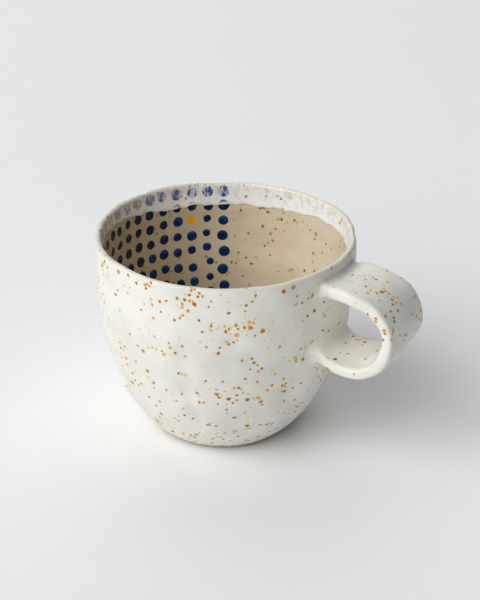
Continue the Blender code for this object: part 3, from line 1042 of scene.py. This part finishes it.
def clear_glaze():
    looks = Looks("clear_glaze_over_clay")
    cloud = looks.noise(0.05, 3.0, shift=3.0)[0]
    clay = looks.mix(looks.ramp(cloud, 0.3, 0.7), *CLAY_TINTS)
    grain = looks.ramp(looks.noise(2.2, 4.0, shift=8.0)[0], 0.35, 0.7)
    clay = looks.mix(looks.math("MULTIPLY", grain, 0.16), clay, CLAY_GRAIN)
    # Painted shade: the inner wall is darkened towards the left side and low in the cup
    parts = looks.node("ShaderNodeSeparateXYZ")
    looks.feed(parts.inputs[0], looks.place)
    painted_shade = looks.ramp(parts.outputs[0], 0.0, -38.0, 0.0, 0.35)
    painted_shade = looks.math("ADD", painted_shade, looks.ramp(parts.outputs[2], 56.0, 30.0, 0.0, 0.22))
    clay = looks.mix(painted_shade, clay, CLAY_PAINTED_SHADE)
    mask, inside = dot_mask(looks, 0.5, 0.06)
    # Dot paleness, partly painted shade that darkens the columns on the left
    pale = looks.value("dot_pale")
    blue = looks.math("ADD", looks.ramp(looks.noise(0.5, 3.0, shift=50.0)[0], 0.3, 0.7), pale)
    paint = looks.mix(looks.ramp(blue, 0.3, 1.5), *DOT_BLUES)
    ring = looks.math("MULTIPLY", looks.ramp(inside, 0.1, 0.45), looks.ramp(inside, 1.0, 0.65))
    paint = looks.mix(looks.math("MULTIPLY", ring, 0.3), paint, DOT_RING)
    run = looks.ramp(looks.above_mark("dot"), 0.1, 1.0)
    wash = looks.math("MULTIPLY", looks.math("MULTIPLY", run, pale), 0.85)
    paint = looks.mix(wash, paint, DOT_WASH)
    paint = looks.mix(looks.value("dot_ochre"), paint, DOT_OCHRE)
    colour = looks.mix(mask, clay, paint)
    bare = looks.ramp(mask, 0.2, 0.6, 0.9, 0.12)
    colour = add_iron(looks, colour, *CLAY_SPECK, bare)
    level = looks.vector("MULTIPLY", looks.place, (0.028, 0.028, 0.12))
    swell = looks.noise(1.0, 1.5, shift=23.0, vector=level)[0]
    normal = looks.bump(swell, 0.8, looks.bump(looks.noise(1.4, 2.0, shift=29.0)[0], 0.01))
    roughness = looks.ramp(looks.noise(0.2, 3.0, shift=19.0)[0], 0.3, 0.7, 0.2, 0.3)
    return looks.finish(colour, roughness, normal, Specular_IOR_Level=0.12)


def bare_clay():
    looks = Looks("bare_stoneware_clay")
    cloud = looks.noise(0.12, 4.0, shift=3.0)[0]
    clay = looks.mix(looks.ramp(cloud, 0.3, 0.7), *BARE_TINTS)
    grit = looks.ramp(looks.noise(3.0, 3.0, shift=8.0)[0], 0.45, 0.75)
    clay = looks.mix(looks.math("MULTIPLY", grit, 0.4), clay, BARE_GRIT)
    rust = looks.ramp(looks.noise(1.1, 2.0, shift=31.0)[0], 0.66, 0.72)
    colour = looks.mix(rust, clay, RUST)
    normal = looks.bump(looks.noise(2.4, 4.0, shift=11.0)[0], 0.06)
    return looks.finish(colour, looks.ramp(cloud, 0.3, 0.7, 0.78, 0.92), normal)


# Stage


def plain(name, colour, roughness):
    made = bpy.data.materials.new(name)
    made.use_nodes = True
    shader = made.node_tree.nodes["Principled BSDF"]
    shader.inputs["Base Color"].default_value = (*colour, 1)
    shader.inputs["Roughness"].default_value = roughness
    shader.inputs["Specular IOR Level"].default_value = 0.2
    return made


VIEW_RIGHT = Vector((math.cos(AZIMUTH), math.sin(AZIMUTH), 0))
VIEW_AWAY = Vector((-math.sin(AZIMUTH), math.cos(AZIMUTH), 0))
UP = Vector((0, 0, 1))


def build_floor():
    corners = [(FLOOR_HALF * x, FLOOR_HALF * y, 0) for x, y in ((-1, -1), (1, -1), (1, 1), (-1, 1))]
    paper = plain("floor_paper", FLOOR_COLOUR, FLOOR_ROUGHNESS)
    made = new_piece("floor", corners, [[0, 1, 2, 3]], paper)


def add_light(name, way, distance, size, power, aim):
    """A square soft light, placed this way and this far from the mug (m)."""
    data = bpy.data.lights.new(name, "AREA")
    data.shape = "SQUARE"
    data.size = size
    data.energy = power
    made = bpy.data.objects.new(name, data)
    made.location = aim + way * distance
    made.rotation_mode = "QUATERNION"
    made.rotation_quaternion = (-way).to_track_quat("-Z", "Y")
    bpy.context.scene.collection.objects.link(made)


def towards(side, rise):
    """The way to a light, turned this far to the left of the camera, and this far up."""
    level = -VIEW_AWAY * math.cos(side) - VIEW_RIGHT * math.sin(side)
    return level * math.cos(rise) + UP * math.sin(rise)


def build_lights():
    aim = Vector((0, 0, HEIGHT / 2 * MM))
    for name, side, rise, distance, size, power in LIGHTS:
        add_light(name, towards(math.radians(side), math.radians(rise)), distance, size, power, aim)
    world = bpy.data.worlds.new("studio")
    world.use_nodes = True
    background = world.node_tree.nodes["Background"]
    background.inputs["Color"].default_value = (*SKY_COLOUR, 1)
    background.inputs["Strength"].default_value = SKY_STRENGTH
    bpy.context.scene.world = world


def build_camera():
    data = bpy.data.cameras.new("camera")
    data.lens = LENS
    data.clip_start = 0.01
    data.clip_end = 30
    made = bpy.data.objects.new("camera", data)
    aim = VIEW_RIGHT * (AIM_RIGHT * MM) + UP * (AIM_HEIGHT * MM)
    back = -VIEW_AWAY * math.cos(ELEVATION) + UP * math.sin(ELEVATION)
    made.location = aim + back * (DISTANCE * MM)
    made.rotation_mode = "QUATERNION"
    turn = Quaternion((0, 0, 1), ROLL)
    made.rotation_quaternion = (-back).to_track_quat("-Z", "Y") @ turn
    bpy.context.scene.collection.objects.link(made)
    bpy.context.scene.camera = made


def build_mug():
    white = white_glaze()
    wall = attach(build_white_wall(white), "root")
    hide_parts("outer_glaze")
    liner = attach(build_liner(clear_glaze()), "root")
    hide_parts("liner_glaze")
    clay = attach(build_clay(bare_clay()), "root")
    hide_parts("cup_body")
    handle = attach(build_handle(white), "root")
    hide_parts("handle_glaze", "handle_strap", "upper_joint_coil", "lower_joint_coil")


bpy.context.scene.view_settings.view_transform = "Standard"
build_mug()
build_floor()
build_lights()
build_camera()
